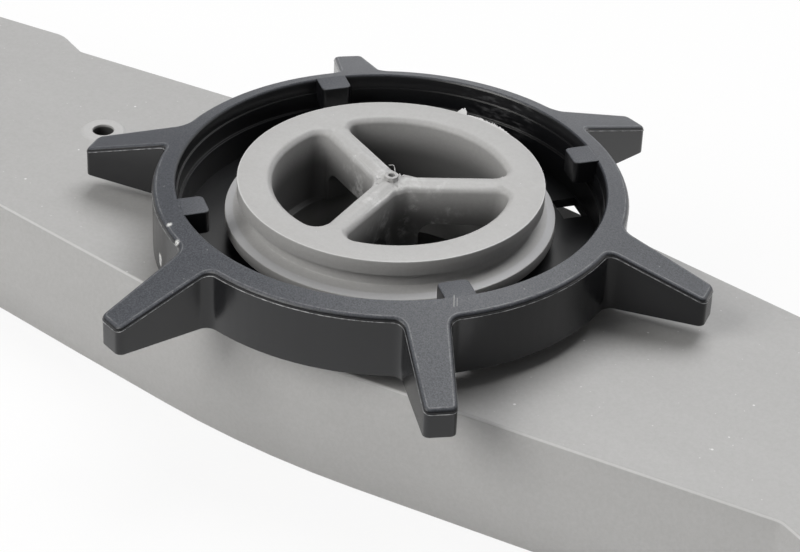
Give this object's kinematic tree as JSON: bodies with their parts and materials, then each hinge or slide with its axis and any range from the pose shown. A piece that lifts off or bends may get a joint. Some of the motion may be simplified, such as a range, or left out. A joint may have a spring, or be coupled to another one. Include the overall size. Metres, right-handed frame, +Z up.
{
  "type": "dishwasher spray arm",
  "caption": "Flat tapered plastic spray arm with a spoked inlet hub and a star-shaped bayonet lock ring that turns freely below the hub's flange.",
  "frame": {"origin": "on the inlet axis, at the level of the cover's flat underside, with the arm lying inlet side up", "axes": "+X along the arm, +Z up along the inlet axis and out of the inlet, +Y across the arm"},
  "size_m": [0.3822, 0.0808, 0.0286],
  "materials": {
    "arm_grey": "satin moulded",
    "cover_grey": "satin moulded",
    "hub_grey": "satin moulded",
    "ring_charcoal": "satin moulded"
  },
  "bodies": {
    "arm": {"arm_body": "arm_grey", "arm_cover": "cover_grey", "inlet_hub": "hub_grey"},
    "ring": {"lock_ring": "ring_charcoal"}
  },
  "joints": [
    {"name": "ring_spin", "type": "hinge", "parent": "arm", "child": "ring", "pos_m": [0, 0, 0.0194], "axis": [0, 0, 1], "continuous": true}
  ]
}
